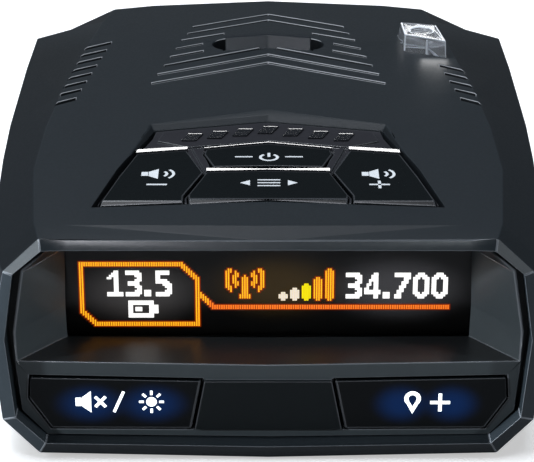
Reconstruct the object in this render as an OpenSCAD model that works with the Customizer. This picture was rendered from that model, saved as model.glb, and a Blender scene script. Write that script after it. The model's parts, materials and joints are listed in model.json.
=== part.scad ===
// Windshield radar detector: two-piece case, recessed display, front and top
// keys, bracket latch, horn antenna and the electronics between them.
// Working frame: X right as the driver sees it, Y back from the front of the
// bezel, Z up from the underside. placed() moves it so that Y is centred.

/* [Case] */
// Length of the case, bezel to nose
body_l = 108; // [108:0.5:112]
// Width of the case at its belt line
body_w = 75.8; // [75.8:0.2:80]
// Height of the parting line between the covers
parting_z = 15.5; // [14.5:0.5:17]
// Wall thickness of both covers
wall = 2.0; // [1.8:0.1:2.2]

/* [Front keys] */
// Travel of the two front keys
front_travel = 0.6; // [0.4:0.1:0.6]
// Gap all round a key in its aperture
key_gap = 0.25; // [0.2:0.05:0.3]

/* [Top keys] */
// Travel of the four top keys
top_travel = 0.6; // [0.4:0.1:0.6]
// Height of the flat top of the keys
key_top_z = 32.7; // [32.6:0.1:32.8]

/* [Bracket latch] */
// Travel of the release bar when pressed
release_travel = 1.5; // [1.2:0.1:1.6]
// Width of the slot that takes the bracket tongue
slot_w = 20; // [18:0.5:20]
// Height of that slot
slot_h = 4.6; // [4.4:0.1:4.6]
// Depth of that slot
slot_d = 23; // [20:1:23]

/* [Speaker] */
// Outer diameter of the loudspeaker
speaker_d = 28; // [26:0.5:28]
// Width of one grille slot
grille_slot = 1.6; // [1.4:0.1:1.8]

/* [Sockets] */
// Bore of the earphone socket
audio_bore = 3.6; // [3.5:0.05:3.7]
// Width of the modular power socket opening
modular_w = 9.7; // [9.6:0.1:9.9]
// Height of the modular power socket opening
modular_h = 6.7; // [6.5:0.1:6.8]

/* [Screws] */
// Diameter of a case screw's shank
case_screw_d = 2.0; // [1.8:0.1:2.2]
// Diameter of a case screw's head
case_head_d = 3.8; // [3.6:0.1:4]
// Diameter of a board screw's shank
board_screw_d = 1.6; // [1.4:0.1:1.8]

/* [Hidden] */
$fn = 40;
mid_z = 16;              // height about which the case is inset
tiny = 0.02;
half_w = body_w / 2;
bezel_back_y = 1;        // outer edge of the sloped bezel face
fascia_y = 2.4;          // face of the panel inside the bezel
fascia_t = 1.8;          // its thickness
window_y = 10.6;         // front face of the display window
window_t = 1.0;
speaker_y = 42;          // middle of the loudspeaker
board_z = 9;             // underside of the main board
board_t = 1.6;
shelf_z = 12.9;          // ledge in front of the display
keypad_pcb_z = 26;       // underside of the key board
keypad_pcb_t = 1.2;
bracket_z = 23.2;        // floor of the bracket slot
release_y = 72.75;       // middle of the release recess
socket_y = [56, 66.5, 78]; // earphone, data and power sockets along the left wall
above = 40;              // higher than any part of the case, for cuts
beyond = 60;             // wider than any part of the case, for cuts
audio_z = 12.4;          // axis of the earphone socket
jack_z = 10.9;           // floor of the power socket
wall_in = -34.4;         // inner face of the left wall at the sockets

// Height of the deck along its side crease and of its low central ridge
deck_y = [4.6, 22, 37, 50, 75, 98];
crease_z = [31.9, 32.4, 32.8, 32.95, 32.4, 30.7];
ridge_h = [0.45, 0.5, 0.55, 0.55, 0.6, 0.5];
crease_x = [29.7, 31.4, 31.1, 30.1, 27.8, 26];

function pairs(a, b) = [for (i = [0:len(a) - 1]) [a[i], b[i]]];
function deck_z(x, y) = lookup(y, pairs(deck_y, crease_z))
    + lookup(y, pairs(deck_y, ridge_h))
    * (1 - abs(x) / lookup(y, pairs(deck_y, crease_x)));

// Full outline from the half on the +X side
function both(half) = concat(half,
    [for (i = [len(half) - 1:-1:0]) if (half[i][0] > 0)
        concat([-half[i][0]], [for (k = [1:len(half[i]) - 1]) half[i][k]])]);
function at_y(pts, y) = [for (p = pts) [p[0], y, p[1]]];
function level(pts, z) = [for (p = pts) [p[0], p[1], z]];
function between(a, b, t) = [for (i = [0:len(a) - 1]) a[i] * (1 - t) + b[i] * t];
function mirrored(pts) = [for (i = [len(pts) - 1:-1:0]) [-pts[i][0], pts[i][1]]];

// An outline scaled about the middle of the case
function about_middle(pts, k) = [for (p = pts) [p[0] * k, mid_z + (p[1] - mid_z) * k]];

// Bezel and panel outlines, seen from the front, as [x, z]
bezel_outer = both([[0, 31.1], [25.7, 31.2], [28.85, 31.44], [33.64, 26.86],
    [35.57, 17.1], [34.55, 5.7], [29.93, 0.77], [0, 0.1]]);
bezel_inner = both([[0, 30.15], [25.5, 30.1], [28.6, 30], [32.3, 26.8],
    [33.7, 17.6], [32.75, 6.5], [29, 2.7], [0, 2.2]]);
mouth = both([[0, 30.5], [25.5, 30.45], [28.75, 30.4], [32.7, 27],
    [34.25, 17.5], [33.3, 6.2], [29.2, 2.0], [0, 1.6]]);
fascia_outline = both([[0, 29.4], [28, 29.4], [31.5, 26.4], [32.9, 17.6],
    [32.75, 13.5], [32.15, 6.3], [29, 2.75], [0, 2.35]]);

// Case sections from the bezel to the nose, half side only:
// ridge, kink, deck corner, shoulder, belt, low side, bottom corner, keel
case_half = [
    [[0, 1, 31.1], [25.7, 1, 31.2], [28.85, 1, 31.44], [33.64, 1, 26.86],
     [35.57, 1, 17.1], [34.55, 1, 5.7], [29.93, 1, 0.77], [0, 1, 0.1]],
    [[0, 2.95, 32.35], [23.4, 3.86, 32.03], [29.74, 4.78, 31.9], [34.9, 5.1, 27.3],
     [36.5, 5.2, 17.1], [35.3, 5.2, 5.5], [30.5, 5.2, 0], [0, 5.2, 0]],
    [[0, 22, 32.9], [23.4, 22, 32.53], [31.4, 22, 32.4], [36.6, 22, 27.9],
     [37.2, 22, 17.1], [35.8, 22, 5.5], [31.2, 22, 0], [0, 22, 0]],
    [[0, 37, 33.35], [23.4, 37, 32.94], [31.1, 37, 32.8], [37.4, 37, 28],
     [37.7, 37, 17.1], [36.2, 37, 5.5], [31.8, 37, 0], [0, 37, 0]],
    [[0, 50, 33.5], [22.6, 50, 33.09], [30.1, 50, 32.95], [37.8, 50, 28.1],
     [half_w, 50, 17.1], [36.4, 50, 5.5], [32, 50, 0], [0, 50, 0]],
    [[0, 75, 33], [20.8, 75, 32.55], [27.8, 75, 32.4], [half_w, 75, 28.1],
     [half_w, 75, 17.1], [36.4, 75, 5.5], [32, 75, 0], [0, 75, 0]],
    [[0, 88, 32.1], [20, 88, 31.62], [26.7, 88, 31.5], [37.8, 90.8, 27.7],
     [half_w, 92, 17.1], [36.4, 92, 5.5], [32, 91, 0], [0, 91, 0]],
    [[0, 100.6, 31.05], [19, 99, 30.75], [25.4, 97, 30.75], [33.2, 100, 26.2],
     [33.6, 101, 17.1], [32.4, 100.5, 5.5], [29, 99, 0.2], [0, 100, 0.2]],
    [[0, body_l, 24.6], [19, body_l, 24.5], [23.5, body_l, 24.3], [26.5, body_l, 21.5],
     [27.2, body_l, 15], [26.6, body_l, 6], [24, body_l, 2.6], [0, body_l, 2.4]]];

function inset(p, t) = [p[0] == 0 ? 0 : p[0] - t - 0.2,
    max(min(p[1], body_l - t - 0.4), 6),
    mid_z + (p[2] - mid_z) * (mid_z - t) / mid_z];
case_rings = [for (s = case_half) both(s)];
cavity_rings = [for (i = [1:len(case_half) - 1]) both([for (p = case_half[i]) inset(p, wall)])];

// Closed skin through a row of rings; each ring runs clockwise seen from the first
module loft(rings) {
    n = len(rings[0]);
    last = (len(rings) - 1) * n;
    points = [for (r = rings) each r];
    sides = [for (s = [0:len(rings) - 2], i = [0:n - 1])
        let (a = s * n + i, b = s * n + (i + 1) % n)
        each (i < n / 2 ? [[a, a + n, b + n], [a, b + n, b]] : [[a, a + n, b], [b, a + n, b + n]])];
    polyhedron(points, concat([[for (i = [0:n - 1]) i]], sides,
        [[for (i = [n - 1:-1:0]) last + i]]));
}

// The same for rings that climb, each running clockwise seen from above
module stack(rings) loft([for (r = rings) [for (i = [len(r) - 1:-1:0]) r[i]]]);

module placed() translate([0, -body_l / 2, 0]) children();
module along_y(y0, y1) translate([0, y1, 0]) rotate([90, 0, 0]) linear_extrude(y1 - y0) children();
module along_x(x0, x1) translate([x0, 0, 0]) rotate([90, 0, 90]) linear_extrude(x1 - x0) children();
module block(lo, hi) translate(lo) cube(hi - lo);
module upright(x, y, z0, z1, d) translate([x, y, z0]) cylinder(h = z1 - z0, d = d);

/* ---------- deck details ---------- */
groove_w = 1.0;
groove_deep = 0.45;
groove_apex_y = 62.9;
groove_apex_pitch = 3.98;
groove_end_y = 54;
groove_end_pitch = 4.21;
groove_end_x = 17.3;
groove_end_step = 0.743;
// Where grooves 3 to 5 stop short of the release recess, counted from the driver's side
groove_inner = [0, 0, 0, 9.9, 10.1, 6.9, 0, 0];

vent_y = 46.3;
vent_pitch = 3.716;
vent_x = 30;
vent_step = 0.342;
left_vents = 8;
right_vents = 5;         // the lens takes the place of the other three

// Cross-section of a groove at one point of the deck
function groove_section(x, y, w, deep) = [
    [x, y + w / 2, deck_z(x, y) + 1], [x, y - w / 2, deck_z(x, y) + 1],
    [x, y - w / 2, deck_z(x, y) - deep], [x, y + w / 2, deck_z(x, y) - deep]];

function groove_apex(i) = groove_apex_y + groove_apex_pitch * i;
function groove_tip(i) = [groove_end_x - (groove_end_step * i), groove_end_y + groove_end_pitch * i];
function groove_y(i, x) = groove_apex(i) + (groove_tip(i)[1] - groove_apex(i)) * abs(x) / groove_tip(i)[0];

module groove(i) {
    tip = groove_tip(i);
    inner = groove_inner[i];
    if (inner == 0)
        loft([for (x = [-tip[0], 0, tip[0]]) groove_section(x, groove_y(i, x), groove_w, groove_deep)]);
    else
        for (side = [-1, 1])
            loft([for (x = (side < 0 ? [-tip[0], -inner] : [inner, tip[0]]))
                groove_section(x, groove_y(i, x), groove_w, groove_deep)]);
}

function vent_point(k, t) = [vent_x - vent_step * k - t * (2.2 + 0.14 * k),
    vent_y + vent_pitch * k + t * (1.65 + 0.1 * k)];
module vent(k, side) {
    a = vent_point(k, -0.3);
    b = vent_point(k, 1);
    ends = side < 0 ? [[-a[0], a[1]], [-b[0], b[1]]] : [b, a];
    loft([for (p = ends) groove_section(p[0], p[1], 1.3, 0.9)]);
}

/* ---------- keypad outlines, seen from above as [x, y] ---------- */
keypad_hole = both([[0, 40.2], [16, 36.4], [16.9, 32.6], [20.2, 21.5], [22.8, 9.2], [0, 10.3]]);
keypad_bevel = both([[0, 42.2], [17, 37.9], [18.5, 31], [20.2, 21.5], [22.8, 9.2], [0, 10.3]]);
volume_shape = [[-21.7, 9.45], [-11, 9.95], [-11.05, 11.9], [-8.7, 19.9], [-11.15, 27.9],
    [-17.9, 26.6], [-19.9, 18.2]];
power_shape = both([[0, 30.5], [8.5, 28.3], [8.7, 26.6], [7.35, 22.1], [0, 22.45]]);
menu_shape = both([[0, 20.5], [8.2, 20.0], [10.4, 12], [10.25, 10.05], [0, 10.7]]);
lip_low_z = 32.1;        // front edge of the key lips
lip_run = 1.1;           // how far back the lip rises
cap_low_z = 31;          // underside of the key caps

// Rounding of the opening's far edge, as [share of the way out, height]
keypad_round = [[0, 32.3], [0.4, 32.9], [0.9, 33.3], [1.7, 33.7]];

// One key cap: a flat top, a sloped front lip and a foot for its switch
module top_key(shape, front_y, foot) {
    difference() {
        translate([0, 0, cap_low_z]) linear_extrude(key_top_z - cap_low_z) polygon(shape);
        translate([-30, front_y, lip_low_z]) rotate([atan((key_top_z - lip_low_z) / lip_run), 0, 0])
            translate([0, -6, 0]) cube([60, 20, 6]);
    }
    upright(foot[0], foot[1], keypad_pcb_z + keypad_pcb_t + 1.7 + top_travel, cap_low_z + 0.1, 3);
}
volume_foot = [14.5, 18];
power_foot = [0, 26];
menu_foot = [0, 17.6];

/* ---------- front key outlines, seen from the front as [x, z] ---------- */
front_key = [[-30.8, 11.2], [-8.7, 10.7], [-10.05, 3.75], [-28.3, 3.85], [-31.05, 8.1]];
panel_shape = both([[0, 10.7], [8.3, 10.7], [9.65, 3.7], [0, 3.7]]);

module front_key_cap(shape) {
    along_y(2.1, 5.2) polygon(shape);
    along_y(4.45, 5.2) offset(delta = 0.5) polygon(shape);
    for (x = [-25, -15]) translate([x * sign(-shape[0][0]), 0, 7.4]) rotate([-90, 0, 0])
        translate([0, 0, 5.1]) cylinder(h = 1.2, d = 2.6);
}

/* ---------- case ---------- */
module case_shell() {
    difference() {
        loft(case_rings);
        loft(cavity_rings);
        along_y(-1, 7) polygon(mouth);
    }
}

screw_spots = [[-28.5, 19, 30.8], [28.5, 19, 30.8], [-28.5, 90, 28.9], [28.5, 90, 28.9]];
board_spots = [[-20, 27.5], [20, 27.5], [-20, 94], [20, 94]];

module top_cover() color("#30363b") placed() {
    difference() {
        union() {
            difference() {
                case_shell();
                block([-beyond, -beyond, -beyond], [beyond, 2 * beyond, parting_z]);
            }
            for (p = screw_spots) upright(p[0], p[1], parting_z + tiny, p[2], 5);
        }
        // keypad opening with its rounded far edge
        translate([0, 0, 20]) linear_extrude(20) polygon(keypad_hole);
        stack([for (step = keypad_round) level(between(keypad_hole, keypad_bevel, step[0]), step[1])]);
        for (i = [0:len(groove_inner) - 1]) groove(i);
        for (k = [0:left_vents - 1]) vent(k, -1);
        for (k = [0:right_vents - 1]) vent(k, 1);
        // finger scoops and shaft for the release bar
        for (side = [-1, 1]) upright(side * scoop_x, release_y, scoop_z, above, scoop_d);
        translate([0, 0, scoop_z]) linear_extrude(above - scoop_z) polygon(release_shaft);
        // seat of the clear lens
        translate([0, 0, lens_base]) linear_extrude(above - lens_base) polygon(lens_foot);
        block([21.4, 71.6, scoop_z], [26.6, 77.2, above]);
        side_openings();
        // mouth of the bracket slot
        block([-slot_w / 2 - 1.6, body_l - 16, bracket_z - 1.6],
            [slot_w / 2 + 1.6, body_l + 5, bracket_z + slot_h + 1.2]);
        road_window(6, 1);
        for (p = screw_spots) upright(p[0], p[1], parting_z - 1, parting_z + 9, case_screw_d - 0.2);
    }
}

// Half length of the k-th slot of the round speaker grille
grille_pitch = 2.6;
function grille_reach(k) = sqrt(pow(speaker_d / 2 - 2, 2) - pow(grille_pitch * k, 2)) - 0.8;
module grille_opening(y, reach) {
    block([-reach, y - grille_slot / 2, -1], [reach, y + grille_slot / 2, 3]);
    for (s = [-1, 1]) upright(s * reach, y, -1, 3, grille_slot);
}

module bottom_cover() color("#2a2f34") placed() {
    difference() {
        union() {
            difference() {
                case_shell();
                block([-beyond, -beyond, parting_z], [beyond, 2 * beyond, beyond]);
            }
            for (p = screw_spots) upright(p[0], p[1], 1, parting_z, 6);
            for (p = board_spots) upright(p[0], p[1], 1, board_z, 4.5);
            for (y = [64, 92]) block([-14, y, 1], [14, y + 2, 4.2]);
            // ring that locates the loudspeaker
            translate([0, speaker_y, 1]) difference() {
                cylinder(h = 3.4, d = speaker_d + 4);
                translate([0, 0, -1]) cylinder(h = 6, d = speaker_d + 0.6);
            }
        }
        road_window(6, 1);
        for (p = screw_spots) {
            upright(p[0], p[1], -1, parting_z + 1, case_screw_d + 0.4);
            upright(p[0], p[1], -1, 3, case_head_d + 0.6);
        }
        for (p = board_spots) upright(p[0], p[1], 3, board_z + 1, board_screw_d - 0.2);
        for (k = [-4:4]) grille_opening(speaker_y + grille_pitch * k, grille_reach(k));
        side_openings();
    }
}

// Block of the road-facing window, from depth behind the nose to proud in front of it
module road_window(depth, proud) block([-22, body_l - depth, 5.6], [22, body_l + proud, 20]);

// Openings in the left wall for the three sockets
module side_openings() {
    block([-45, socket_y[2] - modular_w / 2, jack_z],
        [-31, socket_y[2] + modular_w / 2, jack_z + modular_h]);
    block([-45, socket_y[1] - 4.1, 10.4], [-31, socket_y[1] + 4.1, 13.8]);
    translate([-45, socket_y[0], audio_z]) rotate([0, 90, 0]) cylinder(h = 16, d = 5.6);
}

module front_bezel() color("#6f7380") placed() {
    difference() {
        union() {
            loft([at_y(bezel_inner, 0), at_y(bezel_outer, bezel_back_y - tiny)]);
            along_y(bezel_back_y - tiny, 5) polygon(about_middle(mouth, 0.997));
        }
        along_y(-1, 6) polygon(bezel_inner);
    }
}

// Funnel in front of the display: wide at the panel, narrow at the window
funnel_front = both([[0, 29.25], [28, 29.2], [31.2, 26.2], [32.6, 17.6], [32.5, 13.5], [0, shelf_z]]);
funnel_back = both([[0, 26.95], [24, 26.9], [26.5, 26], [26.7, 17.6], [26.6, 13.1], [0, shelf_z]]);
funnel_skin_front = both([[0, 29.45], [28, 29.4], [31.5, 26.4], [32.9, 17.6], [32.75, 12], [0, 11.7]]);
funnel_skin_back = both([[0, 28.3], [24.8, 28.2], [28, 27.2], [28.2, 17.6], [28, 11.8], [0, 11.7]]);
window_shape = both([[0, 27.6], [24.4, 27.5], [27.2, 26.6], [27.4, 17.6], [27.2, 12.6], [0, 12.3]]);

module display_fascia() color("#262b2f") placed() {
    difference() {
        union() {
            along_y(fascia_y, fascia_y + fascia_t) polygon(fascia_outline);
            // thin rim back to the flange that sits behind the bezel
            difference() {
                union() {
                    along_y(fascia_y + 1, 6.4) polygon(fascia_outline);
                    along_y(5.04, 6.4) polygon(about_middle(mouth, 0.995));
                }
                along_y(fascia_y + fascia_t, 7) polygon(about_middle(fascia_outline, 0.984));
            }
            loft([at_y(funnel_skin_front, fascia_y + 1), at_y(funnel_skin_back, window_y + window_t)]);
        }
        loft([at_y(funnel_front, fascia_y - 0.02), at_y(funnel_back, window_y + 0.01)]);
        along_y(window_y, window_y + 5) polygon(window_shape);
        for (shape = [front_key, mirrored(front_key)])
            along_y(0, 8) offset(delta = key_gap) polygon(shape);
        along_y(0, 8) polygon(panel_shape);
    }
}

module center_panel() color("#33434a") placed() {
    along_y(1.9, fascia_y + fascia_t) polygon(panel_shape);
    along_y(fascia_y + fascia_t, fascia_y + fascia_t + 0.8)
        polygon(both([[0, 11.2], [8, 11.2], [9.2, 3.2], [0, 3.2]]));
}

module mute_button() color("#111519") placed() front_key_cap(front_key);
module mark_button() color("#111519") placed() front_key_cap(mirrored(front_key));

module front_switch_board() color("darkgreen") placed()
    block([-27.6, 8.2, 3.2], [27.6, 9.2, 11.3]);

module front_switches() color("silver") placed()
    for (x = [-25, -15, 15, 25]) translate([x, 0, 7.4]) {
        block([-1.8, 7.4, -1.8], [1.8, 8.2, 1.8]);
        rotate([-90, 0, 0]) translate([0, 0, 6.3 + front_travel + 0.1]) cylinder(h = 0.5, d = 1.6);
    }

module front_key_lights() color("white") placed()
    for (x = [-21.6, -18.4, 18.4, 21.6]) block([x - 0.8, 7.6, 6.9], [x + 0.8, 8.2, 7.9]);

module display_window() color("#14161a") placed()
    along_y(window_y + tiny, window_y + window_t) polygon(window_shape);

module display_module() color("#202024") placed()
    block([-27, window_y + window_t + 0.2, 12.8], [27, window_y + window_t + 1.8, 27.4]);

module display_frame() color("dimgray") placed() difference() {
    block([-28.6, window_y + window_t + 0.1, 12], [28.6, window_y + window_t + 3, 28]);
    block([-27.2, 9, 12.6], [27.2, window_y + window_t + 2, 27.6]);
}

module display_flex() color("orange") placed()
    along_x(-8, 8) polygon([[14.65, 16], [15, 16], [16.6, 11], [27, 11], [27, 10.7], [16.4, 10.7],
        [14.65, 15.6]]);

/* ---------- top keys ---------- */
trim_z = 32.3;           // top of the tray between the keys
tray_z = 29.4;           // underside of the tray
tray_floor = 0.8;
keypad_tray = both([[0, 39.9], [15.7, 36.1], [16.1, 33], [19.4, 21.5], [22, 9.7], [0, 10.75]]);
tray_flange = both([[0, 41.6], [17.4, 37.4], [18.2, 33], [21.4, 21.5], [23.4, 10.4], [0, 10.3]]);
badge_field = both([[0, 38.9], [14.6, 34.8], [15.3, 31.8], [10.9, 29.4], [0, 31.9]]);
rib_shape = [[9.1, 28.7], [10.5, 29.2], [8.4, 20.6], [7.7, 21.4]];
module keypad_trim() color("#1d2226") placed() {
    difference() {
        union() {
            translate([0, 0, tray_z]) linear_extrude(trim_z - tray_z) polygon(keypad_tray);
            translate([0, 0, tray_z]) linear_extrude(0.5) polygon(tray_flange);
            // raised field behind the keys, and the ribs between them
            translate([0, 0, trim_z - 0.1]) linear_extrude(0.45) polygon(badge_field);
            for (s = [-1, 1]) translate([0, 0, trim_z - 0.1]) linear_extrude(0.4)
                polygon([for (p = rib_shape) [p[0] * s, p[1]]]);
        }
        for (shape = [volume_shape, mirrored(volume_shape), power_shape, menu_shape])
            translate([0, 0, tray_z + tray_floor]) linear_extrude(12) offset(delta = 0.2) polygon(shape);
        for (p = [[-volume_foot[0], volume_foot[1]], volume_foot, power_foot, menu_foot])
            upright(p[0], p[1], 20, 36, 3.6);
    }
}
module volume_down_button() color("#0d1114") placed()
    top_key(volume_shape, 9.2, [-volume_foot[0], volume_foot[1]]);
module volume_up_button() color("#0d1114") placed()
    top_key(mirrored(volume_shape), 9.2, volume_foot);
module power_button() color("#0d1114") placed() top_key(power_shape, 15, power_foot);
module menu_button() color("#0d1114") placed() top_key(menu_shape, 9.8, menu_foot);

module keypad_board() color("darkgreen") placed()
    translate([0, 0, keypad_pcb_z]) linear_extrude(keypad_pcb_t)
        polygon(both([[0, 38], [14, 34], [18.5, 20], [20, 15], [0, 15]]));

module keypad_switches() color("silver") placed()
    for (p = [[-volume_foot[0], volume_foot[1]], volume_foot, power_foot, menu_foot])
        translate([p[0], p[1], keypad_pcb_z + keypad_pcb_t]) {
            block([-2.2, -2.2, 0], [2.2, 2.2, 1.1]);
            cylinder(h = 1.55, d = 2);
        }

module keypad_posts() color("#2a2f34") placed() {
    for (s = [-1, 1]) upright(s * 11.5, 31.5, keypad_pcb_z + keypad_pcb_t, 29.4, 3.2);
    for (s = [-1, 1]) block([s * 15.8 - 0.6, 24, keypad_pcb_z + keypad_pcb_t], [s * 15.8 + 0.6, 26, 29.4]);
}

module keypad_flex() color("orange") placed()
    along_x(-4, 4) polygon([[36, 25.6], [38, 25.6], [41, 12], [46, 11], [46, 10.7], [40.6, 11.6],
        [37.6, 25.2], [36, 25.2]]);

/* ---------- bracket latch ---------- */
slot_end = 101.5;        // mouth of the bracket slot
module bracket_socket() color("#3a3f44") placed() difference() {
    block([-slot_w / 2 - 1.4, slot_end - slot_d - 1.4, bracket_z - 1.4],
        [slot_w / 2 + 1.4, slot_end, bracket_z + slot_h + 1]);
    block([-slot_w / 2, slot_end - slot_d, bracket_z], [slot_w / 2, body_l, bracket_z + slot_h]);
    // opening in the floor for the latch tooth
    block([-4, tooth_y - 1.4, bracket_z - 3], [4, tooth_y + 1.4, bracket_z + 1]);
}

// Bar and the shaft it runs in, seen from above as [x, y]
release_bar = both([[0, 73.5], [6.6, 71.9], [6.6, 69.7], [0, 71.3]]);
release_shaft = both([[0, 73.8], [6.95, 72.2], [6.95, 69.35], [0, 71]]);
release_ridge = both([[0, 73.5], [6.6, 71.9], [6.6, 71], [0, 72.6]]);
bar_slope_z = 32.7;      // where the sloped front of the bar starts
bar_top_z = 34.4;
scoop_x = 5.5;           // middle of a finger scoop
scoop_d = 6.3;
scoop_z = 28;            // floor of the scoops
wing_z = 29.6;           // underside of the wings below the deck
latch_z = 20.2;          // underside of the latch plate
latch_t = 0.8;
tooth_y = 84;            // middle of the latch tooth
module release_button() color("#3b4147") placed() {
    translate([0, 0, wing_z]) linear_extrude(bar_slope_z - wing_z) polygon(release_bar);
    stack([level(release_bar, bar_slope_z - tiny), level(release_ridge, bar_top_z)]);
    block([-9.4, 69, wing_z], [9.4, 76.4, wing_z + 0.8]);
    block([-3.6, 72.2, latch_z + latch_t], [3.6, 73.8, wing_z + 0.1]);
}
module latch_plate() color("silver") placed() {
    block([-6.4, 70.4, latch_z], [6.4, tooth_y + 1.2, latch_z + latch_t]);
    // the tooth stands proud of the slot's floor by a little less than the travel
    block([-3.5, tooth_y - 0.9, latch_z + latch_t],
        [3.5, tooth_y + 0.9, bracket_z + release_travel - 0.3]);
}
module release_springs() color("gainsboro") placed()
    for (s = [-1, 1]) upright(s * 5.6, 71.4, 22.3, wing_z, 2.2);
module release_guide() color("#2a2f34") placed() difference() {
    block([-8.4, 68.6, 21.4], [8.4, 76.2, 24.4]);
    block([-4, 71.8, 20], [4, 74.2, 26]);
    for (s = [-1, 1]) upright(s * 5.6, 71.4, 22.3, 26, 2.8);
}

/* ---------- rear-facing lens ---------- */
lens_base = 31.6;
lens_top = 35.2;
lens_foot = [[27.3, 67], [24.3, 68.7], [20.9, 70.4], [20.4, 79.2], [23.6, 78.4], [26.5, 77.4]];
lens_crown = [[27.1, 67.2], [24.2, 68.9], [21, 70.6], [20.7, 76.6], [23.4, 76.1], [26.1, 75.2]];
module rear_laser_lens() color([0.9, 0.92, 0.96, 0.5]) placed() {
    difference() {
        stack([level(lens_foot, lens_base + tiny), level(lens_crown, lens_top)]);
        translate([23.7, 72.6, lens_top + 2.2]) sphere(r = 2.9, $fn = 32);
    }
    block([21.5, 71.7, 28.6], [26.5, 77.1, lens_base + 0.1]);
}
module rear_laser_sensor() color("#7a1f1f") placed() {
    upright(24, 74.4, 25.6, 28.2, 4);
    block([20.6, 71, 24.4], [27.6, 78, 25.6]);
}

/* ---------- electronics ---------- */
horn_w = 32;
horn_y = 60;             // closed end of the horn
horn_mouth_y = 104.4;    // its open end
horn_z = 4.2;            // its underside
horn_top = 18.4;         // its top
module main_board() color("darkgreen") placed() difference() {
    block([-30, 24, board_z], [30, 98, board_z + board_t]);
    block([-horn_w / 2 - 0.6, horn_y - 0.6, 0], [horn_w / 2 + 0.6, 2 * beyond, above]);
    for (p = screw_spots) upright(p[0], p[1], 0, above, 7.4);
    for (p = board_spots) upright(p[0], p[1], 0, above, board_screw_d + 0.2);
}
top_of_board = board_z + board_t;
module board_screws() color("silver") placed() for (p = board_spots) {
    upright(p[0], p[1], top_of_board, top_of_board + 1, 3);
    upright(p[0], p[1], 4.2, top_of_board, board_screw_d - 0.2);
}
module case_screws() color("silver") placed() for (p = screw_spots) {
    upright(p[0], p[1], 1.2, 3, case_head_d);
    upright(p[0], p[1], 3, parting_z + 6, case_screw_d - 0.2);
}
module processor() color("#1a1a1a") placed()
    block([-19.4, 44.5, top_of_board], [-7.4, 56.5, top_of_board + 1]);
module processor_shield() color("lightgray") placed() difference() {
    block([-21.6, 42, top_of_board], [-5, 58.6, top_of_board + 3]);
    block([-21.2, 42.4, top_of_board - 1], [-5.4, 58.2, top_of_board + 2.6]);
}
module horn_antenna() color("gainsboro") placed() difference() {
    block([-horn_w / 2, horn_y, horn_z], [horn_w / 2, horn_mouth_y, horn_top]);
    // the flare, from its throat to the mouth
    loft([at_y(both([[0, 12.2], [4, 12.1], [4, 9.1], [0, 9]]), horn_y + 16),
        at_y(both([[0, 17.3], [14.6, 17.2], [14.6, 5.4], [0, 5.3]]), horn_mouth_y + 0.1)]);
    // pocket for the mixer board
    block([-14.4, horn_y + 1.4, horn_top - 4], [14.4, horn_y + 10.2, above]);
}
module mixer_board() color("#2f7d4f") placed()
    block([-14.2, horn_y + 1.6, horn_top - 3.6], [14.2, horn_y + 10, horn_top - 2.8]);
module mixer_cover() color("lightgray") placed()
    block([-15.6, horn_y + 0.4, horn_top], [15.6, horn_y + 10.1, horn_top + 0.4]);
module front_laser_window() color("#1a0b10") placed() road_window(1.6, -0.2);
module front_laser_sensors() color("#7a1f1f") placed() for (s = [-1, 1]) {
    block([s * 19.2 - 2.4, body_l - 8.6, 9], [s * 19.2 + 2.4, body_l - 6, 16]);
    translate([s * 19.2, body_l - 6.1, 12.6]) rotate([-90, 0, 0]) cylinder(h = 2.6, d = 4);
}
module gps_antenna() color("tan") placed() {
    block([-9, 46.5, 22.4], [9, 64.5, 26.4]);
    block([-10, 45.5, 21.4], [10, 65.5, 22.4]);
}
module backup_capacitor() color("steelblue") placed() upright(19, 39, top_of_board, top_of_board + 5, 12);
module speaker_basket() color("dimgray") placed() difference() {
    translate([0, speaker_y, 2.6]) cylinder(h = 3.4, d = speaker_d);
    translate([0, speaker_y, 2]) cylinder(h = 3, d = speaker_d - 3);
}
module speaker_cone() color("#20242a") placed() translate([0, speaker_y, 0]) difference() {
    translate([0, 0, 3.4]) cylinder(h = 1, d = speaker_d - 3.6);
    translate([0, 0, 3]) cylinder(h = 1, d = 8);
}
module speaker_magnet() color("silver") placed() translate([0, speaker_y, 6]) cylinder(h = 2.6, d = 14);
module speaker_gasket() color("#111111") placed() translate([0, speaker_y, 2.02]) difference() {
    cylinder(h = 0.56, d = speaker_d);
    translate([0, 0, -1]) cylinder(h = 3, d = speaker_d - 3);
}
module power_jack() color("#1b1e22") placed() difference() {
    block([wall_in, socket_y[2] - 6.4, top_of_board], [-20.6, socket_y[2] + 6.4, 19]);
    block([-36, socket_y[2] - modular_w / 2, jack_z],
        [-22.4, socket_y[2] + modular_w / 2, jack_z + modular_h]);
}
module usb_port() color("silver") placed() difference() {
    block([wall_in, socket_y[1] - 3.8, top_of_board], [-29, socket_y[1] + 3.8, 13.4]);
    block([-36, socket_y[1] - 3.4, 11], [-29.8, socket_y[1] + 3.4, 12.9]);
}
module audio_jack() color("#1b1e22") placed() difference() {
    union() {
        block([-33.4, socket_y[0] - 3.2, top_of_board], [-22.4, socket_y[0] + 3.2, 15.2]);
        translate([-36, socket_y[0], audio_z]) rotate([0, 90, 0]) cylinder(h = 3, d = 5.2);
    }
    translate([-37, socket_y[0], audio_z]) rotate([0, 90, 0]) cylinder(h = 13, d = audio_bore);
}

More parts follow.
